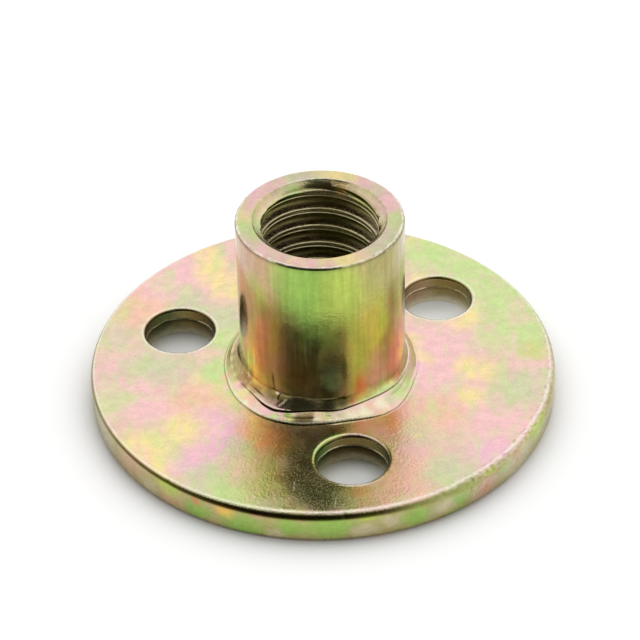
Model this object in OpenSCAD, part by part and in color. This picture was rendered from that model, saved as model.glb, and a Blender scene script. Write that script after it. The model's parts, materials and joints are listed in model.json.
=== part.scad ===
// Screw-on tee nut, cold formed from one blank of steel: a round flange with three
// punched screw holes, a coined collar, and a barrel that is threaded inside.
// The flange lies on Z = 0 with the barrel pointing up, and the first screw hole is
// towards -Y. Lengths are in millimetres and angles in degrees.

/* [Flange] */
// Diameter of the flange
flange_d = 28.3; // [24:0.1:36]
// Thickness of the flange
flange_t = 2; // [1.4:0.1:3]
// Rounding of the rim's upper edge, drawn in by blanking
rim_top_r = 0.4; // [0.1:0.05:0.6]
// Rounding of the rim's lower edge
rim_under_r = 0.3; // [0.1:0.05:0.6]

/* [Barrel] */
// Outside diameter of the barrel
barrel_d = 10; // [9:0.1:11.5]
// Overall height, from the underside of the flange to the mouth of the barrel
overall_h = 12.7; // [9:0.1:25]
// Rounding of the outer edge at the barrel's mouth
barrel_edge_r = 0.2; // [0.05:0.05:0.3]

/* [Foot of the barrel] */
// Width of the collar, from the barrel's side out to the collar's edge
collar_w = 1.17; // [1:0.01:1.4]
// Height of the step at the collar's edge
collar_step_h = 0.12; // [0.05:0.01:0.2]
// How far that step leans in
collar_step_lean = 0.06; // [0.02:0.01:0.12]
// Width of the collar's sloping face, from the step up to the crown
collar_face_w = 0.68; // [0.5:0.02:0.76]
// Height of the collar at its crown, above the flange
collar_h = 0.42; // [0.36:0.02:0.6]
// Width of the crease inside the crown
crease_w = 0.06; // [0.04:0.01:0.1]
// Depth of that crease, below the crown
crease_depth = 0.08; // [0.04:0.01:0.12]
// Radius of the fillet that runs from the crease up into the barrel
foot_fillet_r = 0.7; // [0.6:0.05:0.9]

/* [Thread] */
// Nominal diameter of the thread
thread_d = 8; // [6:0.5:8]
// Pitch of the thread
thread_pitch = 1.25; // [0.75:0.05:1.5]
// Diameter taken up by the crests, as a share of the pitch, on a rolled thread
crest_share = 0.88; // [0.7:0.01:1.08]
// Full angle of the countersink at the barrel's mouth
countersink_angle = 90; // [60:5:120]
// Radius of the bell mouth where the flange turns up into the barrel
bell_r = 1.2; // [0.5:0.1:1.2]

/* [Screw holes] */
// Number of screw holes
hole_count = 3; // [2:1:4]
// Diameter of each hole at its smooth sheared wall
hole_d = 4.3; // [3:0.1:4.6]
// Diameter of the circle on which the holes lie
hole_circle_d = 18.8; // [18.6:0.1:20]
// Radius of the rolled edge on the punch side
hole_roll_r = 0.25; // [0.05:0.05:0.4]
// Depth of the smooth wall and its rolled edge, below the flange's upper face
hole_smooth_h = 0.8; // [0.5:0.05:1.2]
// How far the hole has broken out at the underside, on the radius
hole_breakout = 0.1; // [0.02:0.02:0.2]

/* [Hidden] */
$fn = 96;
zinc_yellow = [0.80, 0.73, 0.50];

flange_r = flange_d / 2;
barrel_r = barrel_d / 2;

// the foot, from the collar's edge in to the barrel
collar_r = barrel_r + collar_w;
step_top_r = collar_r - collar_step_lean;
crown_r = step_top_r - collar_face_w;

// the fillet's centre lies where its arc meets the barrel's side and the bottom of the crease
fillet_centre_r = barrel_r + foot_fillet_r;
crease_to_centre = fillet_centre_r - (crown_r - crease_w);
fillet_centre_h = collar_h - crease_depth
    + sqrt(pow(foot_fillet_r, 2) - pow(crease_to_centre, 2));

// the bore runs over the crests of the thread, and its countersink opens to the full thread
bore_r = (thread_d - crest_share * thread_pitch) / 2;
countersink_r = thread_d / 2;
countersink_h = (countersink_r - bore_r) / tan(countersink_angle / 2);

hole_r = hole_d / 2;
first_hole_angle = -90;

// how far a cutter stands out past the metal
over = 1;

// Cutter that rounds a convex corner at the origin. The metal lies towards -X and -Y.
module edge_cutter(r) {
    translate([-r, -r])
        difference() {
            square(r + over);
            circle(r);
        }
}

// Half section of the flange, with its blanked rim
module flange_section() {
    difference() {
        square([flange_r, flange_t]);
        translate([flange_r, flange_t])
            edge_cutter(rim_top_r);
        translate([flange_r, 0])
            mirror([0, 1])
                edge_cutter(rim_under_r);
    }
}

// Half section of the barrel
module barrel_section() {
    difference() {
        square([barrel_r, overall_h]);
        translate([barrel_r, overall_h])
            edge_cutter(barrel_edge_r);
    }
}

// Half section of the coined collar: a low step, a face that slopes up to the crown,
// and behind the crown the outer side of the crease, which ends under the fillet
module collar_section() {
    translate([0, flange_t])
        polygon([
            [0, -flange_t / 2],
            [collar_r, -flange_t / 2],
            [collar_r, 0],
            [step_top_r, collar_step_h],
            [crown_r, collar_h],
            [crown_r - 2 * crease_w, collar_h - 2 * crease_depth],
            [0, collar_h - 2 * crease_depth]
        ]);
}

// Half section of the concave fillet between the crease and the barrel
module fillet_section() {
    translate([0, flange_t])
        difference() {
            square([crown_r, fillet_centre_h]);
            translate([fillet_centre_r, fillet_centre_h])
                circle(foot_fillet_r);
        }
}

// Half section of what is open along the axis: bell mouth, bore and countersink
module bore_section() {
    translate([0, -over])
        square([bore_r, overall_h + 2 * over]);
    translate([bore_r, 0])
        rotate(180)
            edge_cutter(bell_r);
    polygon([
        [0, overall_h - countersink_h],
        [bore_r, overall_h - countersink_h],
        [countersink_r, overall_h],
        [countersink_r, overall_h + over],
        [0, overall_h + over]
    ]);
}

// What the punch takes out: a rolled edge and a smooth wall above, a broken-out cone below
module screw_hole() {
    rotate_extrude() {
        polygon([
            [0, -over],
            [hole_r + hole_breakout, -over],
            [hole_r + hole_breakout, 0],
            [hole_r, flange_t - hole_smooth_h],
            [hole_r, flange_t + over],
            [0, flange_t + over]
        ]);
        translate([hole_r, flange_t])
            mirror([1, 0])
                edge_cutter(hole_roll_r);
    }
}

module tee_nut() {
    color(zinc_yellow)
        difference() {
            rotate_extrude()
                difference() {
                    union() {
                        flange_section();
                        barrel_section();
                        collar_section();
                        fillet_section();
                    }
                    bore_section();
                }
            for (i = [0 : hole_count - 1])
                rotate(first_hole_angle + i * 360 / hole_count)
                    translate([hole_circle_d / 2, 0])
                        screw_hole();
        }
}

tee_nut();
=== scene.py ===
"""Looks of a screw-on tee nut in yellow zinc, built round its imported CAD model.

The nut is one piece of steel, so one closed mesh stands for it. It follows the CAD section and
adds what is too fine for the solids: the thread, the wandering crease at the foot of the barrel,
the torn lower half of each punched hole, and the nicks in the rim.

Lengths are in millimetres and angles in degrees until the mesh is made.
"""

import json
from math import asin, ceil, cos, degrees, dist, pi, radians, sin, sqrt, tan

import bmesh
import bpy
import numpy as np
from mathutils import Euler, Matrix, Vector, geometry, noise


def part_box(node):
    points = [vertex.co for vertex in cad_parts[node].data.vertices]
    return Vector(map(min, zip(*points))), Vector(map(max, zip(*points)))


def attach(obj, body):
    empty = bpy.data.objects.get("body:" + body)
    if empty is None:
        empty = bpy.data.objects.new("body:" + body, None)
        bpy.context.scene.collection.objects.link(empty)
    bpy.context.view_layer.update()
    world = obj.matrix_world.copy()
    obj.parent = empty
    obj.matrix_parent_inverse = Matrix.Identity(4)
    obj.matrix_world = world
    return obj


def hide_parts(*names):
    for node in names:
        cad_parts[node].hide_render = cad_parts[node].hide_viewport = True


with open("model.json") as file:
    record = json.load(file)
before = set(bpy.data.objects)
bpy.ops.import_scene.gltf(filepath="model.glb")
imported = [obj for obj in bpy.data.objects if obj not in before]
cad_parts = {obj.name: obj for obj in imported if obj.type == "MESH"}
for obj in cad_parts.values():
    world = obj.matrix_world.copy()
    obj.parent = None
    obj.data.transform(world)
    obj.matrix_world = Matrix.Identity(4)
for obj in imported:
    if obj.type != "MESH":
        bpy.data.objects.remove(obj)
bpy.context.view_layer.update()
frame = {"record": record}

MM = 0.001
mounts = {m["name"]: m for m in frame["record"]["mounts"]}
low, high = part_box("tee_nut")

# Overall sizes, from the frame
FLANGE_R = high.x / MM
OVERALL_H = high.z / MM
FLANGE_T = mounts["bearing_face"]["pos_m"][2] / MM
BARREL_R = mounts["barrel"]["dims"]["r_mm"]
CREST_R = mounts["thread"]["dims"]["r_mm"]
HOLE_R = mounts["screw_holes"]["dims"]["hole_r_mm"]
HOLE_COUNT = mounts["screw_holes"]["dims"]["count"]
HOLE_CIRCLE_R = mounts["screw_holes"]["dims"]["pcd_mm"] / 2
FIRST_HOLE = -90

# Rim of the flange
RIM_UNDER_R = 0.3

# Mouth of the barrel
MOUTH_EDGE_R = 0.22
MOUTH_WEAR = 0.09
COUNTERSINK_R = 4
COUNTERSINK_EDGE_R = 0.09
# From the countersink's sharp corner to the start of its rounding
EDGE_TUCK = COUNTERSINK_EDGE_R * tan(radians(22.5))

# Foot of the barrel: heights are above the flange's upper face
LEDGE_W = 0.015
LEDGE_H = 0.03

# Thread: M8 x 1.25, right-hand
PITCH = 1.25
ROOT_R = 3.97
BELL_R = 1.2
THREAD_START = 1.07
# Where the rows that follow the thread begin
BORE_FROM = 0.15

# Screw holes
HOLE_ROLL_W = 0.28
HOLE_ROLL_H = 0.22
SMOOTH_WALL = 0.8
BREAKOUT = 0.1
# For each hole: how rubbed its rolled edge and the lower end of its smooth wall are, and how much
# painted shade darkens the torn part
HOLE_WEAR = [(0.3, 0.4, 1), (0.8, 0.4, 0.4), (0.9, 0.4, 0.8)]

# Wear on the rim
RIM_WEAR = 0.04
DENT_DEPTH = 0.1

# How finely the mesh is cut, how close points are welded, and up to what angle it is smooth
RIM_STEPS = 900
BARREL_STEPS = 288
BORE_STEPS = 144
HOLE_STEPS = 112
PLATE_SPACING = 0.55
BORDER = 0.05
WELD = 0.0002
SMOOTH_ANGLE = 38
# Numbers kept for each point of the mesh: x, y, z, how worn, and how much grime and painted shade
# darken it
COLUMNS = 5


# ---- Small tools

def turn(steps, closed=True):
    """Angles round a full turn, in degrees; an open turn repeats its first angle at the end."""
    return np.linspace(-180, 180, steps if closed else steps + 1, endpoint=not closed)


def humps(angle, shapes):
    """Sum of smooth humps round the axis, each given as (angle, height, width)."""
    return sum(height * hill((angle - centre + 180) % 360 - 180, 0, width)
               for centre, height, width in shapes)


def hill(value, centre, width, power=2):
    """A smooth hill, 1 at its centre; a higher power gives it a flatter top."""
    return np.exp(-((value - centre) / width) ** power)


def wander(angle, seed, scale=1):
    """Smooth random wave round the axis, about -1 to 1, that closes on itself."""
    rng = np.random.default_rng(seed)
    total = np.zeros_like(angle)
    for cycles in range(1, 9):
        total += rng.normal() / cycles ** 0.5 * np.cos(
            np.radians(angle) * round(cycles * scale) + rng.uniform(0, 2 * pi))
    return total / 3


def along(angle, knots):
    """A smooth closed line through the values given at a few angles, that never overshoots them."""
    known = np.array(sorted(knots))
    values = np.array([knots[k] for k in known], float)
    known = np.concatenate([known[-2:] - 360, known, known[:2] + 360])
    values = np.pad(values, 2, mode="wrap")
    rises = np.diff(values) / np.diff(known)
    before, after = rises[:-1], rises[1:]
    level = before * after <= 0
    slopes = np.where(level, 0, 2 * before * after / np.where(level, 1, before + after))
    slopes = np.pad(slopes, 1)
    i = np.clip(np.searchsorted(known, angle, side="right") - 1, 0, len(known) - 2)
    gap = known[i + 1] - known[i]
    t = (angle - known[i]) / gap
    return (values[i] * (1 + 2 * t) * (1 - t) ** 2 + values[i + 1] * t ** 2 * (3 - 2 * t)
            + gap * (slopes[i] * t * (1 - t) ** 2 - slopes[i + 1] * t ** 2 * (1 - t)))


def chatter(angle, radius, height, size, squeeze=1):
    """Random roughness round the axis, about -1 to 1, in lumps of one size, squeezed in height."""
    places = [(radius * cos(a), radius * sin(a), height * squeeze) for a in np.radians(angle)]
    return np.array([noise.noise(Vector(place) / size) for place in places])


def arc(centre, radius, start, end, steps):
    """Points (r, z) along an arc in the half section."""
    angles = np.radians(np.linspace(start, end, steps + 1))
    return [(centre[0] + radius * cos(a), centre[1] + radius * sin(a)) for a in angles]


def on_wall(radius, angle, height, centre=(0, 0)):
    """A point on an upright wall, round the nut's axis or a hole's."""
    a = radians(angle)
    return (centre[0] + radius * cos(a), centre[1] + radius * sin(a), height)


HOLE_CENTRES = [on_wall(HOLE_CIRCLE_R, FIRST_HOLE + 360 * i / HOLE_COUNT, 0)[:2]
                for i in range(HOLE_COUNT)]


def ring(radius, height, angle, worn=0, stained=0):
    """A ring of points, each x, y, z, how worn, and how much grime and painted shade darken it; all
    may change with the angle.
    """
    a = np.radians(angle)
    columns = np.broadcast_arrays(radius * np.cos(a), radius * np.sin(a), height, worn, stained)
    return np.stack(columns, axis=-1)


def add_object(name, data):
    """Puts a new object into the scene."""
    added = bpy.data.objects.new(name, data)
    bpy.context.scene.collection.objects.link(added)
    return added


class Skin:
    """Points and faces of a mesh, put together from patches with shared borders."""

    def __init__(self):
        self.points = []
        self.faces = []
        self.count = 0

    def add(self, points, faces):
        self.points.append(points)
        self.faces.extend(tuple(i + self.count for i in face) for face in faces)
        self.count += len(points)

    def grid(self, rows, closed=True):
        """Quads between rows of points that go round."""
        rows = np.array(list(rows))
        points = rows.reshape(-1, COLUMNS)
        at = np.arange(len(points)).reshape(rows.shape[:2])
        if closed:
            at = np.hstack([at, at[:, :1]])
        quads = np.stack([at[:-1, :-1], at[:-1, 1:], at[1:, 1:], at[1:, :-1]], axis=-1)
        self.add(points, quads.reshape(-1, 4).tolist())

    def plate(self, height, outer, inner, hole_r=None):
        """A flat ring at one height between two loops of points, with the screw holes left out.

        Each border gets a narrow band of its own, so that the shading of what it meets
        doesn't run into the flat.
        """
        centres = [np.array(c) for c in HOLE_CENTRES] if hole_r else []
        hole = ring(hole_r or 0, 0, turn(HOLE_STEPS))
        borders = [(outer, 0, -1), (inner, 0, 1)] + [(hole, centre, 1) for centre in centres]
        points, edges = [], []
        for loop, centre, side in borders:
            flat = loop[:, :2]
            reach = np.linalg.norm(flat, axis=1, keepdims=True)
            for border in (flat, flat * (reach + side * BORDER) / reach):
                first = len(points)
                points.extend(map(tuple, border + centre))
                edges.extend((first + i, first + (i + 1) % len(flat)) for i in range(len(flat)))
        points.extend(self.filling(outer, inner, hole_r, centres))
        found = geometry.delaunay_2d_cdt([Vector(p) for p in points], edges, [], 0, 1e-7)
        corners = np.array([v[:] for v in found[0]])
        triangles = np.array(found[2])
        middle = corners[triangles].mean(axis=1)
        keep = self.inside(middle, outer) & ~self.inside(middle, inner)
        for centre in centres:
            keep &= ~self.inside(middle - centre, hole)
        rest = np.zeros((len(corners), COLUMNS - 2))
        rest[:, 0] = height
        self.add(np.hstack([corners, rest]), triangles[keep].tolist())

    @staticmethod
    def inside(points, loop):
        """Which points lie inside the straight edges of a loop that runs once round the origin."""
        angle = np.arctan2(loop[:, 1], loop[:, 0])
        order = np.argsort(angle)
        reach = np.linalg.norm(loop[:, :2], axis=1)[order]
        sag = cos(pi / len(loop))
        there = np.interp(np.arctan2(*points.T[::-1]), angle[order], reach, period=2 * pi)
        return np.linalg.norm(points, axis=1) < there * (1 + sag) / 2

    @staticmethod
    def filling(outer, inner, hole_r, centres):
        """Loose points that fill a plate, clear of its borders."""
        clear = PLATE_SPACING * 0.6
        inner_r = np.linalg.norm(inner[:, :2], axis=1).max() + clear
        outer_r = np.linalg.norm(outer[:, :2], axis=1).min() - clear
        found = []
        rows = max(1, round((outer_r - inner_r) / PLATE_SPACING))
        for radius in np.linspace(inner_r, outer_r, rows + 1):
            steps = round(2 * pi * radius / PLATE_SPACING)
            for point in ring(radius, 0, turn(steps))[:, :2]:
                if all(dist(point, c) > hole_r + clear for c in centres):
                    found.append(tuple(point))
        return found

    def mesh(self, name):
        """Joins the patches at their borders, turns every face outwards, and gives metres."""
        points = np.vstack(self.points)
        data = bpy.data.meshes.new(name)
        data.from_pydata((points[:, :3] * MM).tolist(), [], self.faces)
        for column, mask in ((3, "worn"), (4, "stained")):
            layer = data.attributes.new(mask, "FLOAT", "POINT")
            layer.data.foreach_set("value", points[:, column].clip(0, 1))
        bm = bmesh.new()
        bm.from_mesh(data)
        bmesh.ops.remove_doubles(bm, verts=bm.verts, dist=WELD * MM)
        bmesh.ops.dissolve_degenerate(bm, edges=bm.edges, dist=WELD * MM)
        bmesh.ops.recalc_face_normals(bm, faces=bm.faces)
        bm.to_mesh(data)
        bm.free()
        return data


# ---- The nut's own shape

# Radius and width of the crease, by angle. It swings out where the metal folded late.
CREASE = {
    -175: 5.56, -167: 5.54, -159: 5.52, -153: 5.51, -147: 5.6, -142: 5.69, -137: 5.77, -131: 5.8,
    -126: 5.71, -120.5: 5.6, -114.7: 5.48, -108.6: 5.37, -102: 5.33, -96: 5.37, -89: 5.35,
    -82: 5.27, -74.6: 5.23, -66.6: 5.21, -58.4: 5.26, -49.5: 5.31, -42: 5.31, -34: 5.26, 20: 5.3,
    70: 5.36, 120: 5.45, 150: 5.55,
}
CREASE_W = {
    -176: 0.07, -159: 0.09, -147: 0.11, -137: 0.17, -129: 0.24, -120: 0.22, -112: 0.16, -100: 0.14,
    -90: 0.14, -80: 0.12, -65: 0.1, -50: 0.1, -40: 0.08, -30: 0.05, 0: 0.04, 110: 0.07,
}
# Radius of the collar's edge. It is dressed in where the punch for the front hole came close.
COLLAR = {
    -175: 6.1, -165: 6.22, -157: 6.32, -152: 6.37, -143: 6.41, -133: 6.44, -124: 6.41, -118: 6.36,
    -113: 6.29, -105: 6.15, -96: 6.06, -88: 6.02, -79: 6.12, -71: 6.29, -65: 6.4, -58: 6.41,
    -52: 6.31, -45: 6.13, -38: 5.98, -31: 5.86, -10: 5.8, 50: 6, 110: 6.12, 150: 6,
}
# Height of the top of the flare, above the flange
FLARE = {
    -145: 1.05, -132: 0.96, -127: 0.95, -119: 1.02, -112: 1.06, -99: 1.06, -85: 1.12, -79: 1.19,
    -66: 1.15, -58: 1.05, -49: 0.96, -44: 0.86, -10: 0.85, 60: 0.95, 150: 0.98,
}
# How late the flare bends out, where 1 is a cone, and the width of the flat at its bottom
HOLLOW = {
    -176: 1.3, -155: 1.5, -142: 1.7, -130: 1.5, -120: 1.15, -100: 1.1, -88: 1.2, -78: 2, -66: 2.2,
    -50: 2.2, -40: 1.8, 30: 1.6, 120: 1.6,
}
FLAT = {
    -176: 0, -160: 0, -150: 0.03, -135: 0.07, -126: 0.05, -118: 0, -92: 0, -84: 0.03, -75: 0.06,
    -45: 0.06, -35: 0.06, 0: 0.05, 100: 0.04,
}
# Height of the crease's edges above the flange
CREASE_H = {
    -176: 0.41, -150: 0.4, -142: 0.36, -137: 0.31, -131: 0.28, -126: 0.29, -120: 0.33, -114: 0.38,
    -108: 0.41, -89: 0.42, -80: 0.46, -70: 0.5, -55: 0.5, -49.5: 0.475, -42: 0.44, 0: 0.41,
    120: 0.41,
}
# Where the flare is darkened with painted shade
FLARE_SHADE = {
    -150: 0, -143: 0.35, -137: 0.5, -131: 0.4, -127: 0.35, -118: 0.15, -112: 0.15, -101: 0.4,
    -93: 0.6, -88: 0.75, -84: 0.65, -79: 0.3, -75: 0, 0: 0, 120: 0,
}
# How sharply the crease and the collar's step are formed, and how much its edge was rubbed
CREASING = {
    -176: 0.05, -167: 0.15, -157: 0.35, -147: 0.6, -139: 1, -90: 1, -80: 0.7, -60: 0.6, -46: 0.45,
    -34: 0.35, -25: 0.15, 0: 0.1, 50: 0.4, 110: 0.5,
}
STEPPING = {
    -176: 0.3, -165: 0.35, -150: 0.4, -138: 0.7, -125: 1, -82: 1, -70: 0.75, -58: 0.55, -48: 0.3,
    -40: 0.1, -25: 0.03, 60: 0.3, 120: 0.35,
}
STEP_H = {
    -176: 0.1, -150: 0.12, -85: 0.12, -72: 0.09, -60: 0.06, -48: 0.04, -38: 0.02, -20: 0.015,
    40: 0.06, 110: 0.1,
}
EDGE_WEAR = {
    -176: 0.3, -165: 0.9, -110: 1, -95: 1, -82: 0.9, -68: 0.5, -55: 0.1, -40: 0, 0: 0.1, 90: 0.3,
}
# A dent in the collar's face: how strong it is, how much painted shade darkens its fold, and where
# it ends on the way from the crown to the edge
DENT = {-118: 0, -116: 0.9, -112: 1, -107: 1, -104.5: 0, 0: 0, 120: 0}
DENT_FOLD_SHADE = {-135: 0, -127: 0.2, -120: 0.5, -115: 1, -107: 1, -104: 0, 0: 0, 120: 0}
DENT_END = {-135: 0.45, -124: 0.5, -119: 0.55, -107: 0.62, -90: 0.5, 0: 0.5, 120: 0.5}
# The lightly raised toe outside the collar's step
TOE_W = {
    -170: 0.12, -110: 0.12, -88: 0.14, -60: 0.1, -48: 0.12, -40: 0.2, -30: 0.28, -15: 0.3, 20: 0.14,
}
TOE_H = {-160: 0, -105: 0, -92: 0.03, -70: 0.015, -40: 0.02, -10: 0.02, 30: 0}
# Radius of the rim's upper edge
RIM_ROLL = {
    -178: 0.3, -150: 0.33, -128: 0.42, -105: 0.5, -85: 0.48, -60: 0.55, -30: 0.55, 0: 0.45,
    60: 0.36, 120: 0.32,
}
# How much painted shade darkens the rim just below that edge, and how chewed the edge is from
# barrel plating
RIM_SHADE = {
    -176: 0.6, -150: 0.8, -125: 0.95, -105: 0.95, -88: 0.85, -74: 0.4, -62: 0.15, -20: 0.1, 20: 0.2,
    90: 0.5, 140: 0.6,
}
CHEWED = {
    -178: 0.1, -150: 0.12, -100: 0.05, -78: 0.2, -62: 0.8, -45: 1, -20: 0.9, 10: 0.7, 40: 0.3,
    90: 0.1,
}

# Marks, as (angle, height, width). On the flare: the ledge at its top, the burr on that ledge, the
# painted shades under both, and the fold low down, which painted shade darkens too.
LEDGE = [(-122, 1, 12), (-104, 1, 14)]
BURR = [(-132.5, 0.14, 1.6)]
BURR_SHADE = [(-131.5, 0.8, 0.8)]
LEDGE_SHADE = [(-102, 0.6, 20)]
FOLD = [(-148, 1, 6)]
# The lap in the flare: its angle at the top, and how far round it runs on its way down
LAP_ANGLE, LAP_RUN = -122.5, -6.5
# Where the crown was rubbed, and on the collar's face the bare flecks and a second fold line of
# painted shade
CROWN_WEAR = [(-58, 0.5, 22)]
FLECKS = [(-97, 1, 2.2), (-91, 0.8, 2)]
SECOND_FOLD_SHADE = [(-50, 0.7, 5), (-40, 0.8, 6)]
# Knocks to the mouth's outer edge, and where its inner one was rubbed
MOUTH_KNOCKS = [(-52, 1, 22), (-140, 0.4, 14), (10, 0.6, 30), (150, 0.3, 40)]
MOUTH_RUB = [(78, 1, 28)]
# Dents in the rim's edge
RIM_DENTS = [
    (-62.5, 1, 0.5), (-55.5, 0.8, 0.4), (-95.3, 0.35, 0.4), (-71, 0.4, 0.6), (-33, 0.6, 0.7),
    (-140, 0.35, 0.5), (75, 0.5, 0.6), (131, 0.5, 0.5),
]
# The near side of each screw hole, rubbed and less rolled, and where the front hole is rolled more
NEAR_SIDE = [(-95, 1, 55)]
FRONT_ROLL = [(125, 0.5, 35)]
# Where the thread runs out further under the countersink
RUN_OUT = [(5, 0.55, 50)]
# The dark streak up the barrel's side: its angle 1 mm above the flange, its lean for each
# millimetre, its width, and the height where it ends
STREAK_ANGLE, STREAK_LEAN = -135.3, 0.95
STREAK_W, STREAK_END = 0.8, 4.6
# Rings over the collar's face: 0 to 1 is up to the dent's end, and 1 to 2 the rest
FACE_SHARES = (0.12, 0.35, 0.6, 0.82, 0.94, 1, 1.12, 1.35, 1.65, 2)
# Rings down the collar's step, as (way in from the edge, share of the height, worn, painted shade)
STEP_RINGS = [
    (0.075, 0.93, 1, 0), (0.05, 0.74, 0.5, 0), (0.035, 0.45, 0, 0.4), (0.02, 0.1, 0, 1),
    (0, -0.2, 0, 1),
]


def flare_rows(angle, crease, top, bottom):
    """Rings down the flare, from the ledge at its top to the flat at its bottom."""
    ledge = humps(angle, LEDGE).clip(0, 1)
    start = BARREL_R + LEDGE_W * ledge
    burr = humps(angle, BURR)
    yield ring(BARREL_R, top + LEDGE_H, angle, 3 * burr, 0.3 * ledge)
    yield ring(start + burr, top - 0.3 * burr, angle, 3 * burr, 0.3 * ledge)
    flat, hollow = along(angle, FLAT), along(angle, HOLLOW)
    steps = 15
    for step in range(1, steps + 1):
        share = step / steps
        # The fold, the side of the lap, the burr and the ledge get painted shade, and a haze of
        # painted shade lies across the flare's middle
        fold = humps(angle, FOLD) * hill(share, 0.75, 0.06)
        lap_at = LAP_ANGLE + LAP_RUN * share
        lap = humps(angle, [(lap_at, 1, 1)]) * (0.3 < share < 0.92)
        shade = humps(angle, [(lap_at - 2.5, 0.9, 0.9)]) * (0.4 < share < 0.9)
        shade += humps(angle, BURR_SHADE) * (0.12 < share < 0.5)
        shade += humps(angle, LEDGE_SHADE) * hill(share, 0, 0.25)
        painted_haze = along(angle, FLARE_SHADE) * hill(share, 0.42, 0.46, 4) * (1 - lap)
        reach = start + (crease - flat - start) * share ** hollow
        radius = reach - 0.04 * fold + 0.04 * lap + burr * max(0, 0.5 - 5 * share)
        worn = 0.6 * lap * (0.3 + 0.7 * share) + 3 * burr * (share < 0.1) + 8 * flat * (share == 1)
        stained = (fold + shade + painted_haze).clip(0, 1)
        yield ring(radius, top + share * (bottom - top), angle, worn, stained)


def foot_rows(angle):
    """Rings from the barrel's side, down the flare, over the crown and out to the plate."""
    width = along(angle, CREASE_W)
    crease = along(angle, CREASE) - width / 2
    edge = along(angle, COLLAR) + 0.01 * wander(angle, 3, 3)
    top = FLANGE_T + along(angle, FLARE) + 0.01 * wander(angle, 6, 4)
    creasing, stepping = along(angle, CREASING), along(angle, STEPPING)
    bottom = FLANGE_T + along(angle, CREASE_H) + 0.004 * wander(angle, 7, 3)
    floor = bottom - (0.04 + width / 2) * creasing
    inner = crease + width
    yield from flare_rows(angle, crease, top, bottom)
    yield ring(crease, bottom - 0.006 * creasing, angle, 8 * along(angle, FLAT))
    # The crease, and a little the crown, are darkened with painted shade, more where the crease is
    # sharper
    yield ring(crease + 0.15 * width, floor + 0.02 * creasing, angle, 0, creasing)
    yield ring(crease + 0.6 * width, floor, angle, 0, creasing)
    yield ring(inner - 0.012, bottom - 0.03 * creasing, angle, 0, 0.9 * creasing)
    yield ring(inner + 0.012, bottom - 0.004, angle, 0.3 * creasing + humps(angle, CROWN_WEAR), 0.1)
    crown = bottom - 0.006
    step_h = FLANGE_T + along(angle, STEP_H) * (1 + 0.08 * wander(angle, 9, 2))
    lip = edge - 0.12
    dent, fold, end = along(angle, DENT), along(angle, DENT_FOLD_SHADE), along(angle, DENT_END)
    flecks, second = humps(angle, FLECKS), humps(angle, SECOND_FOLD_SHADE)
    wear = along(angle, EDGE_WEAR)
    for share in FACE_SHARES:
        out = end * share if share < 1 else end + (1 - end) * (share - 1)
        steep = 0.85 * share if share < 1 else 0.85 + 0.15 * (share - 1)
        down = out + (steep - out) * dent
        # Painted shade in the dent, along its fold and along the second fold line
        fold_shade = fold * hill(share, 0.88, 0.2) + 0.6 * dent * (share < 0.9)
        fold_shade = (fold_shade + second * hill(share, 0.5, 0.12)).clip(0, 1)
        worn = flecks * (share == 0.6) + 0.5 * wear * (share == 2)
        radius = inner + 0.02 + out * (lip - inner - 0.02)
        yield ring(radius, crown + down * (step_h - crown), angle, worn, fold_shade)
    # The foot of the step and the toe below it are darkened with painted shade, more where the step
    # is sharper
    for inward, share, worn, stained in STEP_RINGS:
        share = share + (1 - stepping) * max(0, 0.1 - share)
        radius = edge - inward * (1.5 - 0.5 * stepping)
        height = FLANGE_T + (step_h - FLANGE_T) * share
        yield ring(radius, height, angle, worn * wear, stained * stepping)
    toe_w, toe_h = along(angle, TOE_W), along(angle, TOE_H)
    yield ring(edge + 0.03, FLANGE_T + toe_h - 0.01 * stepping, angle, 0, 0.4 * stepping)
    yield ring(edge + 0.055, FLANGE_T + toe_h, angle, toe_h * 8)
    yield ring(edge + toe_w - 0.04, FLANGE_T + 0.7 * toe_h, angle, toe_h * 8)
    yield ring(edge + toe_w, FLANGE_T, angle)


def barrel_rows(angle):
    """Rings from the face, over the mouth's outer edge, down the barrel to its foot."""
    knocks = MOUTH_WEAR * humps(angle, MOUTH_KNOCKS)
    for turned in np.linspace(90, 0, 9):
        a = radians(turned)
        lumps = (2 * chatter(angle, BARREL_R, a * MOUTH_EDGE_R, 0.35, 2)).clip(0, 1)
        knock = knocks * lumps * sin(2 * a)
        radius = BARREL_R - MOUTH_EDGE_R * (1 - cos(a)) - knock
        height = OVERALL_H - MOUTH_EDGE_R * (1 - sin(a)) - knock
        worn = hill(turned, 62, 20) if 0 < turned < 90 else 0
        rubbed = (0.6 + 1.2 * chatter(angle, BARREL_R, a * MOUTH_EDGE_R, 0.45)).clip(0.2, 1)
        # The lower part of the mouth's rounded edge is darkened with painted shade
        yield ring(radius, height, angle, worn * rubbed, 0.5 * hill(turned, 22, 12))
    top = OVERALL_H - MOUTH_EDGE_R
    foot = list(foot_rows(angle))
    for share in [0.005, *np.linspace(0.04, 0.96, 16), 0.995]:
        height = top + share * (foot[0][:, 2] - top)
        middle = STREAK_ANGLE - STREAK_LEAN * (height - FLANGE_T - 1)
        streak = hill(angle, middle, STREAK_W) * np.clip((STREAK_END - height) / 0.6, 0, 1)
        yield ring(BARREL_R, height, angle, 0, streak)
    yield from foot


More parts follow.
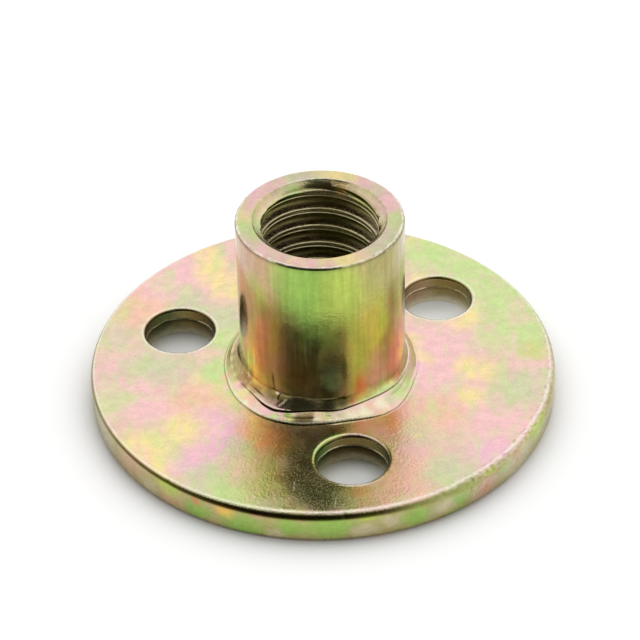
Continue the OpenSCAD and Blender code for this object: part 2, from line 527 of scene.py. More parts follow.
def rim_rows(angle):
    """Rings round the rim of the flange, from the upper plate to the lower one."""
    roll = along(angle, RIM_ROLL) + 0.012 * wander(angle, 11, 5)
    chewed, shade = along(angle, CHEWED), along(angle, RIM_SHADE)
    dents = DENT_DEPTH * humps(angle, RIM_DENTS)
    for turned in np.linspace(90, 0, 15):
        a = radians(turned)
        lumps = chatter(angle, FLANGE_R, a * 0.5, 0.5, 3)
        flakes = chatter(angle, FLANGE_R * 0.6, a * 0.5, 0.18, 1.2)
        rough = chewed * RIM_WEAR * (lumps + 0.6 * flakes) * sin(2 * a)
        dent = dents * hill(turned, 35, 25) * (turned > 0)
        radius = FLANGE_R - roll * (1 - cos(a)) - dent - rough.clip(0, 1)
        height = FLANGE_T - roll * (1 - sin(a)) + rough.clip(-1, 0)
        worn = 0.8 * hill(turned, 70, 7)
        worn = worn + chewed * (0.06 - 1.2 * flakes).clip(0, 0.3) * hill(turned, 45, 28)
        flecks = chewed * (1.2 * flakes - 0.2).clip(0, 0.3) * sin(a)
        # Painted shade where the rounded edge mirrors the dim opening, with the dark flecks of the
        # chewed edge
        dark = shade * hill(turned, 30, 22, 4) + flecks
        yield ring(radius, height, angle, (worn * (turned < 90)).clip(0, 1), dark.clip(0, 1))
    upper = FLANGE_T - roll
    for share in (0.92, 0.82, 0.65, 0.45, 0.25, 0.1):
        z = RIM_UNDER_R + share * (upper - RIM_UNDER_R)
        yield ring(FLANGE_R - dents * hill(share, 1, 0.4), z, angle, 0.25 * chewed * share)
    for r, z in arc((FLANGE_R - RIM_UNDER_R, RIM_UNDER_R), RIM_UNDER_R, 0, -90, 6):
        yield ring(r, z, angle)


def hole_rows(index, angle):
    """Rings down one screw hole: rolled edge, smooth sheared wall, then the torn part."""
    roll = HOLE_ROLL_H * (0.9 + 0.15 * wander(angle, 20 + index))
    rubbed, burnished, torn = HOLE_WEAR[index]
    near = humps(angle, NEAR_SIDE)
    roll = roll * (1 - 0.5 * near)
    if index == 0:
        roll = roll * (1 + humps(angle, FRONT_ROLL))
    yield ring(HOLE_R + HOLE_ROLL_W, FLANGE_T, angle, 0.4 * near)
    for turned in np.linspace(80, 0, 8):
        a = radians(turned)
        worn = rubbed * hill(turned, 70, 8) * (1 - near) + near * (turned > 45)
        # Painted shade where the rolled edge turns down, less on the near side
        dark = 0.75 * (1 - near) * hill(turned, 25, 20, 4)
        radius = HOLE_R + HOLE_ROLL_W * (1 - cos(a))
        yield ring(radius, FLANGE_T - roll * (1 - sin(a)), angle, worn, dark)
    torn_from = FLANGE_T - SMOOTH_WALL + 0.06 * wander(angle, 30 + index, 2)
    wall_top = FLANGE_T - roll
    # The smooth wall gets some painted shade
    for share in (0.15, 0.5, 0.85):
        yield ring(HOLE_R, wall_top + share * (torn_from - wall_top), angle, 0, 0.4)
    for inward, below in ((0, 0.07), (0.025, 0.04), (0.035, 0)):
        yield ring(HOLE_R - inward, torn_from + below, angle, burnished * (inward > 0))
    steps = 12
    for step in range(1, steps + 1):
        share = step / steps
        height = torn_from * (1 - share)
        rough = 0.025 * sin(pi * min(1, 1.15 * share)) if share < 0.87 else 0
        tear = chatter(angle, HOLE_R, height[0] + 10 * index, 0.4)
        radius = HOLE_R + 0.05 * min(1, 8 * share) + (BREAKOUT - 0.05) * share + rough * tear
        # Painted shade, darkest at the top of the torn part and fading down it
        dark = max(0.9 * hill(share, 0, 0.12), torn * (1 - share ** 1.5))
        yield ring(radius, height, angle, 0.5 * share ** 2, dark)


# A flank of the thread from its root, as (height from the crest's middle, share of the depth)
FLANK = [
    (0.625, 1), (0.5, 0.98), (0.4, 0.88), (0.32, 0.7), (0.26, 0.48), (0.22, 0.26), (0.19, 0.09),
]
# The crest with its lower lip and rolled lines, as (height, depth below the crest, how worn)
CREST = [
    (-0.155, 0.003, 0.1), (-0.135, 0.008, 0.25), (-0.105, 0.045, 0.1), (-0.06, 0.03, 0.3),
    (-0.02, 0.02, 0.35), (0.02, 0.03, 0.35), (0.06, 0.02, 0.3), (0.1, 0.008, 0.15), (0.15, 0, 0.05),
]


def thread_profile():
    """The thread along one pitch, from root to root, as (height from the crest, radius, worn)."""
    depth = ROOT_R - CREST_R
    below = [(-height, share * depth, 0) for height, share in FLANK]
    above = [(height, share * depth, 0.15 * (share < 0.2)) for height, share in FLANK[:0:-1]]
    return [(height, CREST_R + lower, worn) for height, lower, worn in below + CREST + above]


def bore_surface(height, angle, thread_r):
    """The wider of the thread, the countersink and the bell mouth, and where that is the thread."""
    fade = np.clip((height - (OVERALL_H - 1.1)) / 0.6, 0, 1) * (0.45 + humps(angle, RUN_OUT))
    thread_r = CREST_R + (thread_r - CREST_R) * (1 - fade)
    drop = OVERALL_H - height
    countersink = np.minimum(COUNTERSINK_R - drop, COUNTERSINK_R - 0.1 - 1.35 * (drop - 0.1))
    fall = np.clip(BELL_R - height, 0, BELL_R)
    bell = CREST_R + BELL_R - np.sqrt(BELL_R ** 2 - fall ** 2)
    opened = np.maximum(countersink, bell)
    return np.maximum(thread_r, opened), thread_r > opened


def bore_rows(angle):
    """Rows that follow the thread's helix, from the bell mouth up to the countersink's edge."""
    top = OVERALL_H - EDGE_TUCK * sqrt(0.5)
    first = THREAD_START + PITCH * ((angle + 180) / 360 - 2)
    for lap in range(ceil((top - BORE_FROM) / PITCH) + 3):
        for above, radius, worn in thread_profile():
            height = np.clip(first + PITCH * lap + above, BORE_FROM, top)
            lines = np.array([noise.noise(Vector((way / 60, 40 * above, 0)))
                              for way in angle + 360 * lap])
            across, threaded = bore_surface(height, angle, radius + 0.008 * lines)
            # Painted shade in the thread's valleys, fading out near the mouth and towards the
            # bottom
            inside = np.clip((OVERALL_H - height - 0.22) / 0.12, 0, 1) * np.clip(height / 3, 0, 1)
            valley = min(0.55, max(0.05, (radius - CREST_R - 0.06 - 0.12 * (above > 0)) / 0.13))
            yield ring(across, height, angle, worn, inside * threaded * valley * (1 - worn))


def bell_rows(angle):
    """The bell mouth, from the underside up to where the thread's rows begin."""
    start = degrees(asin((BELL_R - BORE_FROM) / BELL_R))
    points = arc((CREST_R + BELL_R, BELL_R), BELL_R, 270, 180 + start, 4)
    return [ring(r, z, angle) for r, z in points]


def build_nut():
    """One closed mesh: barrel, rim, holes and bore, with plates between them."""
    skin = Skin()
    barrel = list(barrel_rows(turn(BARREL_STEPS)))
    skin.grid(barrel)
    rim = list(rim_rows(turn(RIM_STEPS)))
    skin.grid(rim)
    skin.plate(FLANGE_T, rim[0], barrel[-1], HOLE_R + HOLE_ROLL_W)
    for index, (x, y) in enumerate(HOLE_CENTRES):
        skin.grid(row + (x, y, 0, 0, 0) for row in hole_rows(index, turn(HOLE_STEPS)))
    bore = turn(BORE_STEPS)
    centre = (COUNTERSINK_R + EDGE_TUCK, OVERALL_H - COUNTERSINK_EDGE_R)
    edge = arc(centre, COUNTERSINK_EDGE_R, 135, 90, 3)
    lip = [ring(r, z, bore, humps(bore, MOUTH_RUB)) for r, z in edge]
    skin.grid(lip)
    skin.plate(OVERALL_H, barrel[0], lip[-1])
    skin.grid(bore_rows(turn(BORE_STEPS, closed=False)), closed=False)
    bell = bell_rows(bore)
    skin.grid(bell)
    skin.plate(0, rim[-1], bell[0], HOLE_R + BREAKOUT)
    data = skin.mesh("tee_nut_skin")
    data.polygons.foreach_set("use_smooth", [True] * len(data.polygons))
    data.set_sharp_from_angle(angle=radians(SMOOTH_ANGLE))
    return add_object("tee_nut_skin", data)


# ---- Materials

# Base colours, linear: the thin film of the flat faces, the deeper film of the upright walls, bare
# zinc, and the tints by which grime and painted shade darken it
BEIGE = (0.85, 0.62, 0.49, 1)
PINK = (0.97, 0.6, 0.6, 1)
ROSE = (0.93, 0.55, 0.66, 1)
SALMON = (0.95, 0.59, 0.43, 1)
YELLOW = (0.99, 0.81, 0.36, 1)
GREEN = (0.62, 0.8, 0.32, 1)
SAGE = (0.67, 0.68, 0.43, 1)
LIME = (0.7, 0.72, 0.28, 1)
AMBER = (0.92, 0.53, 0.26, 1)
CREAM = (0.96, 0.88, 0.62, 1)
OLIVE = (0.47, 0.43, 0.17, 1)
GRASS = (0.33, 0.54, 0.11, 1)
LEAF = (0.5, 0.6, 0.12, 1)
CITRON = (0.6, 0.66, 0.11, 1)
GOLD = (0.92, 0.58, 0.13, 1)
COPPER = (0.62, 0.41, 0.24, 1)
RED = (0.66, 0.28, 0.14, 1)
CLAY = (0.62, 0.41, 0.3, 1)
TAN = (0.62, 0.54, 0.33, 1)
BROWN = (0.36, 0.26, 0.09, 1)
MOSS = (0.14, 0.18, 0.07, 1)
UMBER = (0.27, 0.23, 0.12, 1)
RUST = (0.32, 0.16, 0.05, 1)
BARE_ZINC = (0.95, 0.93, 0.82, 1)
GRIME_AND_SHADE = (0.22, 0.17, 0.1, 1)
DEEP_GRIME_AND_SHADE = (0.36, 0.37, 0.27, 1)

# Patches of the film. Each is a tint, its reach and its place, and later ones lie over earlier
# ones. On the flange, at x and y:
FLANGE_PATCHES = [
    (SALMON, 3, -10.4, 7.8), (PINK, 2.6, -7.6, 10.9), (PINK, 1.8, -6.6, 9.1),
    (PINK, 1.6, -8.6, 9.5), (YELLOW, 1.2, -5.4, 12.4), (YELLOW, 1.1, -5.2, 10.8),
    (YELLOW, 1.1, -4.8, 9.2), (YELLOW, 1.1, -4.5, 7.7), (SAGE, 1.6, -7.1, 7.3),
    (SAGE, 1.6, -5.5, 5.2), (GREEN, 1.2, -5.7, 3.2), (SAGE, 1.6, -12.3, 5.1), (SAGE, 2, -9.8, 1.2),
    (PINK, 2, -11.3, -1.4), (GREEN, 1.4, -13.3, -1.3), (GREEN, 1.4, -6.4, 0.2),
    (SALMON, 1.8, -8.2, -2.3), (ROSE, 2, -7.4, -4.9), (ROSE, 1.8, -7.2, -6.8),
    (YELLOW, 1.5, -9.2, -4.8), (YELLOW, 1.7, -11.7, -6), (YELLOW, 1.4, -10.7, -7.9),
    (ROSE, 1.4, -9.3, -7.8), (SAGE, 1.5, -8.7, -9.6), (GREEN, 1.5, -7.4, -11),
    (SAGE, 1.2, -6.2, -7.2), (LIME, 2, -5.4, -9), (LIME, 1.4, -5, -10.9), (AMBER, 1.2, -5.2, -5.8),
    (AMBER, 1.4, -4.3, -6.8), (GREEN, 1.3, -5.5, -12.2), (AMBER, 0.7, -0.4, -6.7),
    (AMBER, 0.9, -0.6, -12), (SALMON, 2.2, 3.2, -12), (AMBER, 0.9, 2.7, -6.1),
    (PINK, 2.6, 7.6, 0.4), (PINK, 2.3, 6.7, -2.6), (SALMON, 2, 5.8, -6.4), (YELLOW, 1.3, 9.5, 2.4),
    (YELLOW, 1.2, 9.1, -2.7), (YELLOW, 1.1, 8, -5.2), (PINK, 2.2, 9.3, -8.4),
    (ROSE, 1.5, 8.1, -10.3), (SAGE, 1.8, 5.5, -12), (GREEN, 2.2, 8.7, 9.4), (GREEN, 2.5, 10.9, 7),
    (GREEN, 2.5, 12.7, 3.4), (GREEN, 2.2, 12.3, 0), (LIME, 1, 12.9, -1.4), (SAGE, 2, 11.3, -4.9),
    (YELLOW, 0.9, 5.8, 0.8), (YELLOW, 0.9, 6.1, -1),
]
# On the barrel's mouth, at an angle:
MOUTH_PATCHES = [
    (PINK, 1.4, -148), (PINK, 0.9, -112), (YELLOW, 1.2, -80), (GREEN, 1.3, -178), (SAGE, 1.4, -40),
    (GREEN, 0.9, -12), (PINK, 0.8, 15), (SAGE, 0.6, 29), (PINK, 0.7, 42), (YELLOW, 1.1, 62),
    (SAGE, 1, 95), (PINK, 1.4, 140),
]
# On the collar, and on the flare above it, at an angle and radius:
COLLAR_PATCHES = [
    (SALMON, 0.4, -176, 6.05), (GREEN, 0.45, -162, 6.25), (PINK, 0.4, -162, 5.7),
    (SALMON, 0.45, -148, 5.95), (CREAM, 0.3, -149, 6.3), (PINK, 0.4, -135, 6),
    (GREEN, 0.35, -128, 6.3), (LIME, 0.45, -119, 6.2), (GRASS, 0.25, -121.5, 5.8),
    (LIME, 0.35, -98, 5.6), (CREAM, 0.35, -105, 6), (CREAM, 0.4, -93, 5.95),
    (CREAM, 0.45, -84, 5.85), (CREAM, 0.55, -75, 5.8), (SALMON, 0.35, -70, 5.5),
    (CREAM, 0.5, -63, 5.7), (SAGE, 0.35, -57, 5.75), (GREEN, 0.7, -47, 5.6),
    (GREEN, 0.55, -36, 5.6), (CREAM, 0.25, -40, 5.45), (ROSE, 0.5, -17, 5.85),
    (BROWN, 0.36, 168, 5.38), (BROWN, 0.38, 176, 5.38), (BROWN, 0.38, -176, 5.38),
    (BROWN, 0.38, -168, 5.38), (RUST, 0.36, -160, 5.38), (COPPER, 0.34, -151, 5.4),
]
# The umber patches across the flare's front are painted shade
FLARE_PATCHES = [
    (BROWN, 0.8, 165, 5.3), (BROWN, 0.8, 177, 5.3), (BROWN, 0.7, -172, 5.3),
    (RUST, 0.7, -162, 5.35), (RUST, 0.5, -150, 5.4), (COPPER, 0.35, -142, 5.5),
    (BROWN, 0.4, -136, 5.5), (BROWN, 0.4, -128, 5.4), (UMBER, 0.7, -121, 5.3),
    (UMBER, 0.7, -108, 5.2), (UMBER, 0.6, -96, 5.2), (UMBER, 0.35, -87, 5.2), (RED, 0.3, -79, 5.1),
    (LIME, 0.45, -74, 5.1), (GREEN, 0.6, -66, 5.1), (GREEN, 0.6, -56, 5.15), (LIME, 0.4, -47, 5.2),
    (COPPER, 0.3, -40, 5.2), (RED, 0.3, -36, 5.2),
]
# On the front hole's rolled edge, at an angle:
ROLL_PATCHES = [(LIME, 0.4, 165), (GREEN, 0.4, 145), (LIME, 0.4, 125), (GREEN, 0.4, 105)]
# On the countersink, at an angle:
COUNTERSINK_PATCHES = [
    (GRASS, 1, 168), (CITRON, 0.8, 140), (GRASS, 0.7, 112), (BROWN, 0.4, 72), (GOLD, 0.4, 58),
    (LEAF, 0.9, 36), (TAN, 0.6, 3), (SAGE, 0.8, -30), (PINK, 0.8, -60), (GREEN, 0.9, -150),
]
# On the barrel, in the deeper film, at an angle and height:
BARREL_PATCHES = [
    (COPPER, 2.4, -168, 10.5), (CLAY, 1.4, -155, 11.8), (COPPER, 1.2, -143, 11.6),
    (GRASS, 2, -112, 11.2), (GRASS, 1.6, -97, 10.3), (LEAF, 1.5, -86, 10.4), (LEAF, 0.9, -151, 9),
    (BROWN, 1.2, -140, 7.4), (COPPER, 1.3, -163, 7.6), (GOLD, 1.3, -152, 4.3),
    (RED, 1.1, -143, 5.6), (BROWN, 1, -137, 4.6), (BROWN, 1.4, -128, 6), (MOSS, 0.8, -97, 4.6),
    (CITRON, 1.4, -63, 7.2), (LEAF, 1.1, -72, 5.4), (CLAY, 0.9, -59, 4.1), (RED, 0.5, -72, 3.6),
    (BROWN, 0.9, -46, 5.8), (BROWN, 0.8, -40, 9), (RED, 0.9, -39, 4.2), (COPPER, 0.9, -28, 7.2),
    (GOLD, 0.6, -29, 4.2), (TAN, 1.6, -22, 10.8), (TAN, 2, -5, 8), (LEAF, 2.2, 60, 8),
    (COPPER, 1.8, 100, 5.5), (CITRON, 1.6, 140, 9.5),
]
# On the rim's side, at an angle and height:
RIM_PATCHES = [
    (TAN, 1.6, -168, 1), (COPPER, 1.2, -154, 1.3), (TAN, 0.8, -147, 0.6), (COPPER, 1, -140, 0.7),
    (LEAF, 1, -140, 1.5), (GRASS, 0.9, -131, 0.8), (RED, 0.4, -131.5, 1.3), (GOLD, 0.7, -124, 1.5),
    (GRASS, 1.3, -120, 0.7), (COPPER, 0.5, -116, 1.5), (GRASS, 1, -108, 1), (TAN, 0.7, -112, 0.3),
    (GRASS, 1.6, -99, 1.1), (TAN, 0.8, -91, 0.5), (LEAF, 0.6, -90, 1.6), (TAN, 0.8, -84, 1.1),
    (GRASS, 0.9, -78, 1), (TAN, 1, -71, 0.9), (GRASS, 0.6, -66, 1.2), (TAN, 1.8, -46, 1),
    (CLAY, 1.1, -58, 0.7), (RED, 0.4, -58, 0.7), (LEAF, 0.6, -57, 1.7), (GRASS, 0.4, -52, 1.1),
    (COPPER, 0.6, -47, 1.3), (LEAF, 1.3, -36, 1.7), (TAN, 2.2, -15, 1), (LEAF, 2.6, 30, 1),
    (COPPER, 2.2, 75, 1), (GRASS, 2.4, 110, 1), (TAN, 2.2, 150, 1),
]
# On the walls of the screw holes, by hole and angle:
HOLE_PATCHES = [
    (BROWN, 1.5, 0, 70), (GRASS, 1, 0, 145), (MOSS, 1.3, 2, 110), (BROWN, 1.5, 2, 40),
    (BROWN, 1.5, 2, 170), (BROWN, 1.6, 1, 60), (COPPER, 1.2, 1, 120),
]
# Scuffs down the barrel, as (reach, strength, angle, height)
SCUFFS = [(2.2, 0.7, -163, 4), (2, 0.35, -112, 6.2), (1.6, 0.6, -24, 4.8)]
# How strongly these patches cover
COVER = 0.9
# Bands by the film's thickness, as (starts, full, tint on the flats, tint on the walls), and finer
# spots on the flats, as (starts, full, tint)
BANDS = [
    (0.4, 0.3, GREEN, LEAF), (0.47, 0.41, YELLOW, COPPER), (0.53, 0.6, PINK, BROWN),
    (0.62, 0.7, SAGE, GRASS),
]
SPOTS = [(0.46, 0.34, GREEN), (0.54, 0.66, PINK)]
# The film follows a rolling direction across the flange, and runs down the walls.
ROLLING_ANGLE = 70
ROLLED = 0.55
WALL_SQUEEZE = 0.45
RIM_SQUEEZE = 1.5
# A radius between the screw holes and the rim
PAST_HOLES = 12.2
# The rough patch in front of the barrel, darkened as a painted reflection of the barrel's foot, as
# (x, y, half width, half length), and two scratches beside it, as (x, y, angle, half length), with
# their half width
SPECKLED = (-2.35, -10.7, 1.9, 3.1)
SCRATCHES = [(-3.7, -11, 72, 0.65), (-1.65, -12.9, 78, 0.5)]
SCRATCH_W = 0.05
# Colours of the patch: its painted dark reflection, and its specks as painted glints
DARK_REFLECTION = (0.22, 0.18, 0.09, 1)
SPECK_GLINTS = (0.78, 0.74, 0.44, 1)


class Nodes:
    """A node tree with short ways to add nodes and join them."""

    def __init__(self, tree):
        self.tree = tree

    def join(self, value, socket):
        """Sets a socket to a value, or links it to another node's output."""
        if isinstance(value, bpy.types.NodeSocket):
            self.tree.links.new(value, socket)
        else:
            socket.default_value = value

    def source(self, kind):
        """All outputs of a node with no inputs."""
        return self.tree.nodes.new("ShaderNode" + kind).outputs

    def add(self, kind, inputs, output=0, **settings):
        """One output of a new node; its inputs are given by name or number."""
        node = self.tree.nodes.new("ShaderNode" + kind)
        for name, setting in settings.items():
            setattr(node, name, setting)
        for name, value in inputs.items():
            self.join(value, node.inputs[name])
        return node.outputs[output]

    def math(self, operation, *values):
        return self.add("Math", dict(enumerate(values)), operation=operation)

    def times(self, first, second):
        return self.math("MULTIPLY", first, second)

    def vector(self, operation, *values, output=0):
        return self.add("VectorMath", dict(enumerate(values)), output, operation=operation)

    def length(self, vector):
        return self.vector("LENGTH", vector, output="Value")

    def dot(self, first, second):
        return self.vector("DOT_PRODUCT", first, second, output="Value")

    def distance(self, first, second):
        return self.vector("DISTANCE", first, second, output="Value")

    def scaled(self, vector, amount):
        return self.add("VectorMath", {"Vector": vector, "Scale": amount}, operation="SCALE")

    def part(self, vector, axis):
        return self.add("SeparateXYZ", {0: vector}, axis)

    def step(self, value, low, high, start=0, end=1):
        """Goes smoothly from start to end while the value goes from low to high."""
        ends = {"From Min": low, "From Max": high, "To Min": start, "To Max": end}
        return self.add("MapRange", {"Value": value, **ends}, interpolation_type="SMOOTHSTEP")

    def noise(self, place, scale, detail=2, output="Fac"):
        return self.add("TexNoise", {"Vector": place, "Scale": scale, "Detail": detail}, output)

    def mixed(self, share, first, second):
        """Mixes two numbers, by the Mix node's inputs 2 and 3."""
        return self.add("Mix", {0: share, 2: first, 3: second}, data_type="FLOAT")

    def blend(self, share, first, second, kind="MIX"):
        """Mixes two colours, by the Mix node's inputs 6 and 7 and its output 2."""
        colours = {0: share, 6: first, 7: second}
        return self.add("Mix", colours, 2, data_type="RGBA", blend_type=kind)


class Surface(Nodes):
    """The nodes of a new material, and its shader."""

    def __init__(self, name):
        self.material = bpy.data.materials.new(name)
        self.material.use_nodes = True
        super().__init__(self.material.node_tree)
        self.shader = self.tree.nodes["Principled BSDF"]

    def feed(self, name, value):
        """Sets or links one input of the shader."""
        self.join(value, self.shader.inputs[name])

    def mask(self, name):
        """What the mesh says about each point of it."""
        return self.add("Attribute", {}, "Fac", attribute_name=name)


def drifted(mat, place, across, reach, scale, detail=1):
    """The place, moved about by smooth noise of the given reach and scale."""
    drift = mat.noise(across, scale, detail, "Color")
    drift = mat.vector("SUBTRACT", drift, (0.5, 0.5, 0.5))
    return mat.vector("ADD", place, mat.scaled(drift, 2 * reach))


def patched(mat, place, colour, patches, spot):
    """Soft patches of other tints over a colour; spot turns the place of each into a point."""
    for tint, reach, *at in patches:
        away = mat.distance(place, spot(*at))
        share = mat.step(away, 1.45 * reach, 0.3 * reach, 0, COVER)
        colour = mat.blend(share, colour, tint)
    return colour


def speckled(mat, place, colour):
    """The rough patch in front of the barrel, a painted dark reflection with painted glints for
    specks, and its two scratches.
    """
    x, y, across, length = SPECKLED
    here = drifted(mat, place, place, 0.6, 0.7, 2)
    here = mat.vector("SUBTRACT", here, (x, y, FLANGE_T))
    here = mat.vector("MULTIPLY", here, (1 / across, 1 / length, 1))
    share = mat.step(mat.length(here), 1.2, 0.7, 0, 0.85)
    specks = mat.step(mat.noise(place, 9, 1), 0.5, 0.62)
    colour = mat.blend(share, colour, mat.blend(specks, DARK_REFLECTION, SPECK_GLINTS))
    for x, y, angle, length in SCRATCHES:
        a = radians(angle)
        here = drifted(mat, place, place, 0.03, 3)
        here = mat.vector("SUBTRACT", here, (x, y, FLANGE_T))
        ways = ((cos(a), sin(a), 0), length), ((-sin(a), cos(a), 0), SCRATCH_W)
        squares = [mat.math("POWER", mat.math("DIVIDE", mat.dot(here, way), reach), 2)
                   for way, reach in ways]
        share = mat.step(mat.math("ADD", *squares), 1.2, 0.4, 0, 0.8)
        colour = mat.blend(share, colour, BARE_ZINC)
    return colour


def flat_film(mat, place, wandering, rolled, colour):
    """The thin film on the flats: patches and finer spots over the bands."""
    face_r, roll_r = (BARREL_R + COUNTERSINK_R) / 2, HOLE_R + HOLE_ROLL_W / 2
    colour = patched(mat, wandering, colour, FLANGE_PATCHES, lambda x, y: (x, y, FLANGE_T))
    colour = patched(mat, wandering, colour, MOUTH_PATCHES,
                     lambda angle: on_wall(face_r, angle, OVERALL_H))
    for scale, strength in ((0.5, 0.32), (1.6, 0.24)):
        spots = mat.noise(rolled, scale, 1)
        for low, high, tint in SPOTS:
            band = mat.times(mat.step(spots, low, high), strength)
            colour = mat.blend(band, colour, tint)
    colour = speckled(mat, place, colour)
    colour = patched(mat, place, colour, COLLAR_PATCHES,
                     lambda angle, radius: on_wall(radius, angle, FLANGE_T + 0.2))
    return patched(mat, place, colour, ROLL_PATCHES,
                   lambda angle: on_wall(roll_r, angle, FLANGE_T, HOLE_CENTRES[0]))


def wall_film(mat, place, radius, colour):
    """The deeper film on the upright walls; its patches are stretched downwards."""
    ripples = drifted(mat, place, place, 0.5, 0.5)
    ripples = drifted(mat, ripples, place, 0.22, 2.2, 2)
    squeeze = mat.step(radius, PAST_HOLES + 0.2, PAST_HOLES + 1.2, WALL_SQUEEZE, RIM_SQUEEZE)
    squeeze = mat.add("CombineXYZ", {"X": 1, "Y": 1, "Z": squeeze})
    squeezed = mat.vector("MULTIPLY", ripples, squeeze)
    hole_h, countersink_h = 1.4 * WALL_SQUEEZE, (OVERALL_H - 0.25) * WALL_SQUEEZE
    for patches, spot in (
            (BARREL_PATCHES, lambda angle, z: on_wall(BARREL_R, angle, z * WALL_SQUEEZE)),
            (RIM_PATCHES, lambda angle, z: on_wall(FLANGE_R, angle, z * RIM_SQUEEZE)),
            (HOLE_PATCHES, lambda i, angle: on_wall(HOLE_R, angle, hole_h, HOLE_CENTRES[i])),
            (COUNTERSINK_PATCHES, lambda angle: on_wall(CREST_R + 0.3, angle, countersink_h))):
        colour = patched(mat, squeezed, colour, patches, spot)
    return patched(mat, place, colour, FLARE_PATCHES,
                   lambda angle, radius: on_wall(radius, angle, FLANGE_T + 0.6))


def film_colour(mat, place, radius, upright):
    """Chromate film: bands that follow its wandering thickness, under the listed patches."""
    rolling = {"Vector": place, "Rotation": (0, 0, radians(ROLLING_ANGLE)),
               "Scale": (1 / ROLLED, 1, 1)}
    rolled = mat.add("Mapping", rolling, vector_type="TEXTURE")
    wandering = drifted(mat, place, rolled, 0.8, 0.4)
    wandering = drifted(mat, wandering, rolled, 0.45, 1.5, 1.5)
    thickness = mat.noise(wandering, 0.2, 2)
    pale, deep = BEIGE, OLIVE
    for low, high, flat, wall in BANDS:
        band = mat.step(thickness, low, high)
        pale = mat.blend(mat.times(band, 0.6), pale, flat)
        deep = mat.blend(mat.times(band, 0.35), deep, wall)
    pale = flat_film(mat, place, wandering, rolled, pale)
    return mat.blend(upright, pale, wall_film(mat, place, radius, deep))


def zinc_material():
    """Passivated zinc on cold formed steel."""
    mat = Surface("yellow_zinc")
    coordinates = mat.source("TexCoord")
    place = mat.scaled(coordinates["Object"], 1 / MM)
    facing = mat.math("ABSOLUTE", mat.part(coordinates["Normal"], "Z"))
    upright = mat.step(facing, 0.92, 0.6)
    radius = mat.length(mat.vector("MULTIPLY", place, (1, 1, 0)))
    height = mat.part(place, "Z")
    barrel = mat.times(upright, mat.step(radius, 5.6, 5.1))
    bore = mat.times(mat.step(radius, 4.3, 4), mat.step(height, OVERALL_H - 0.5, OVERALL_H - 0.8))
    hole_foot = mat.times(mat.step(radius, PAST_HOLES, PAST_HOLES - 0.2),
                          mat.step(height, 0.7, 0, 0, 0.75))
    worn, stained = mat.mask("worn"), mat.mask("stained")

    colour = film_colour(mat, place, radius, upright)
    colour = mat.blend(mat.times(bore, 0.6), colour, OLIVE)
    colour = mat.blend(hole_foot, colour, CREAM)
    drawn = mat.vector("MULTIPLY", place, (1, 1, 0.07))
    streaks = mat.step(mat.noise(drawn, 3.2, 3), 0.3, 0.7, 0.88, 1.08)
    grain = mat.noise(place, 5, 3)
    mottle = mat.noise(place, 1.6, 3)
    tone = mat.times(mat.mixed(barrel, 1, streaks), mat.step(grain, 0.25, 0.75, 0.95, 1.04))
    tone = mat.times(tone, mat.step(mottle, 0.3, 0.7, 0.94, 1.04))
    tone = mat.times(tone, mat.step(height, OVERALL_H - 0.5, OVERALL_H - 0.1, 1, 0.84))
    colour = mat.scaled(colour, tone)

    rubbed = mat.times(worn, mat.step(grain, 0.36, 0.56, 0.45, 1))
    scratches = mat.step(mat.noise(drawn, 7, 1), 0.6, 0.68)
    for reach, strength, angle, scuff_h in SCUFFS:
        away = mat.distance(place, on_wall(BARREL_R, angle, scuff_h))
        scuff = mat.times(mat.step(away, reach, 0, 0, strength), scratches)
        rubbed = mat.math("MAXIMUM", rubbed, scuff)
    colour = mat.blend(rubbed, colour, BARE_ZINC)
    # Darkened where the mesh says, by grime and by painted shade in creases, folds, valleys and
    # holes
    colour = mat.blend(stained, colour, GRIME_AND_SHADE, "MULTIPLY")
    colour = mat.blend(mat.step(stained, 0.5, 1), colour, DEEP_GRIME_AND_SHADE, "MULTIPLY")
    mat.feed("Base Color", colour)

    # The barrel is smoother than the flange, most of all at its left, and the thread is rougher.
    rough = mat.step(mat.noise(place, 0.8, 3), 0.3, 0.7, 0.23, 0.31)
    smoother = mat.mixed(bore, mat.step(mat.part(place, "X"), -4.7, -3.8, 0.5, 0.7), 1.7)
    rough = mat.times(rough, mat.mixed(barrel, 1, smoother))
    mat.feed("Roughness", mat.math("ADD", rough, mat.step(worn, 0.8, 1, 0, 0.5)))

    # Relief in millimetres: fine grain, rasped marks where the edges are worn, waves and pits
    fine = mat.times(grain, mat.step(barrel, 0, 1, 0.016, 0.004))
    rasped = mat.times(mat.noise(place, 7, 2), mat.times(worn, 0.02))
    waves = mat.times(mottle, 0.004)
    pits = mat.times(mat.step(mat.noise(place, 10, 1), 0.52, 0.66),
                     mat.step(barrel, 0, 1, 0.0015, 0.001))
    relief = mat.math("ADD", mat.math("ADD", mat.math("ADD", fine, rasped), waves), pits)
    bump = {"Height": relief, "Distance": MM, "Strength": 1}
    mat.feed("Normal", mat.add("Bump", bump, "Normal"))
    mat.feed("Metallic", 1)
    return mat.material


# ---- Stage

# The paper: how white it is, and how much it glows away from the nut
FLOOR_WHITE = 0.8
FLOOR_GLOW = 0.43
# Painted light through each hole: how far it reaches from just behind the middle, where it is
# full, and how strong it is
HOLE_GLOW = [(2.3, 0.8, 0.2), (3.2, 1.6, 0.29), (2.75, 0.8, 0.21)]
BEHIND_MIDDLE = 0.3
# Painted shade towards a hole's back wall, with painted warm bounce light: how much darker and
# warmer the paper gets there
HOLE_SHADE = 0.45
HOLE_WARMTH = 0.4
# The nut's painted soft shadow in the paper's glow: its middle, its radius, and how fast it fades
# beyond that
SHADOW_CENTRE = (-0.15, -0.32, 0)
SHADOW_R = FLANGE_R - 0.25
SHADOW_FADE = 0.8


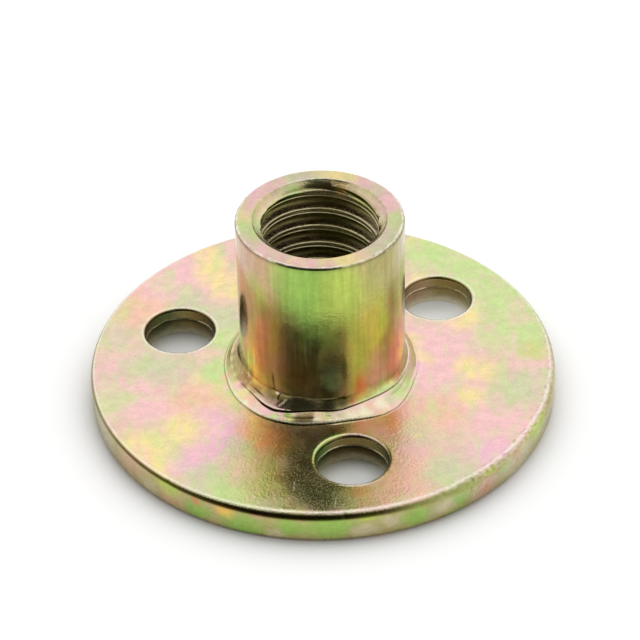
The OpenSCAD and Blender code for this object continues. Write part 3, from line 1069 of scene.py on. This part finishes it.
def floor_material():
    """White paper. It glows for the camera and in reflections, less in a painted shadow round the
    nut, and with painted light and shade in the holes.
    """
    mat = Surface("white_floor")
    place = mat.scaled(mat.source("TexCoord")["Object"], 1 / MM)
    # The glow fades into a painted shadow round the nut
    past = mat.math("SUBTRACT", mat.distance(place, SHADOW_CENTRE), SHADOW_R)
    away = mat.math("MAXIMUM", past, 0)
    shade = mat.math("EXPONENT", mat.times(away, -1 / SHADOW_FADE))
    glow = mat.times(mat.math("SUBTRACT", 1, shade), FLOOR_GLOW)
    here_y = mat.part(place, "Y")
    white = FLOOR_WHITE
    for (x, y), (reach, full, strength) in zip(HOLE_CENTRES, HOLE_GLOW):
        # In each hole: a painted pool of light, and painted shade and warmth towards the back wall
        lit_y = y + BEHIND_MIDDLE
        within = mat.distance(place, (x, lit_y, 0))
        glow = mat.math("ADD", glow, mat.step(within, reach, full, 0, strength))
        behind = mat.step(here_y, lit_y, lit_y + 2, 1, HOLE_SHADE)
        inside = mat.step(mat.distance(place, (x, y, 0)), 3, 2.6)
        white = mat.times(white, mat.mixed(inside, 1, behind))
    path = mat.source("LightPath")
    seen = mat.math("MAXIMUM", path["Is Camera Ray"], path["Is Glossy Ray"])
    mat.feed("Emission Strength", mat.times(seen, glow))
    mat.feed("Emission Color", (1, 1, 1, 1))
    warmth = mat.math("POWER", mat.math("DIVIDE", white, FLOOR_WHITE), HOLE_WARMTH)
    paper = {"Red": white, "Green": white, "Blue": mat.times(white, warmth)}
    mat.feed("Base Color", mat.add("CombineColor", paper))
    mat.feed("Roughness", 0.9)
    mat.feed("Specular IOR Level", 0)
    return mat.material


def add_floor():
    """The paper, just below the nut's underside, in metres."""
    size, z = 3, -0.00002
    mesh = bpy.data.meshes.new("floor")
    corners = [(-size, -size, z), (size, -size, z), (size, size, z), (-size, size, z)]
    mesh.from_pydata(corners, [], [(0, 1, 2, 3)])
    mesh.materials.append(floor_material())
    floor = add_object("floor", mesh)


# The light tent: its brightness all round and in its opening, where the opening is, and how wide
# and soft it is
TENT = 1
OPENING = 0.065
OPENING_AZIMUTH = -115
OPENING_ELEVATION = 33
OPENING_HALF_ANGLE = 39
OPENING_SOFTNESS = 3


def light_tent():
    """The world: a white tent all round, with a dim opening on the camera's side."""
    world = bpy.data.worlds.new("light_tent")
    world.use_nodes = True
    bpy.context.scene.world = world
    nodes = Nodes(world.node_tree)
    elevation = radians(OPENING_ELEVATION)
    middle = on_wall(cos(elevation), OPENING_AZIMUTH, sin(elevation))
    aim = nodes.dot(nodes.source("TexCoord")["Generated"], middle)
    closed = cos(radians(OPENING_HALF_ANGLE + OPENING_SOFTNESS))
    opened = cos(radians(OPENING_HALF_ANGLE - OPENING_SOFTNESS))
    level = nodes.step(aim, closed, opened, TENT, OPENING)
    level = nodes.math("MAXIMUM", level, nodes.source("LightPath")["Is Camera Ray"])
    background = world.node_tree.nodes["Background"].inputs
    nodes.join((1, 1, 1, 1), background["Color"])
    nodes.join(level, background["Strength"])


# The photograph's view: where the camera stands, its turn, tilt and roll, and its lens for a
# sensor 36 mm wide
CAMERA_AT = (-21.55, -127.39, 106.08)
CAMERA_TURN, CAMERA_TILT, CAMERA_ROLL = -9.55, 38.01, -1.35
CAMERA_LENS = 152.98


def add_camera():
    data = bpy.data.cameras.new("camera")
    data.sensor_width = 36
    data.lens = CAMERA_LENS
    data.clip_start, data.clip_end = 0.001, 20
    camera = add_object("camera", data)
    facing = Euler((radians(90 - CAMERA_TILT), 0, radians(CAMERA_TURN)))
    camera.matrix_world = (Matrix.Translation(Vector(CAMERA_AT) * MM) @ facing.to_matrix().to_4x4()
                           @ Matrix.Rotation(radians(CAMERA_ROLL), 4, "Z"))
    bpy.context.scene.camera = camera


bpy.context.scene.view_settings.view_transform = "Standard"
add_camera()
light_tent()
add_floor()
nut = build_nut()
nut.data.materials.append(zinc_material())
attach(nut, "root")
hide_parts("tee_nut")
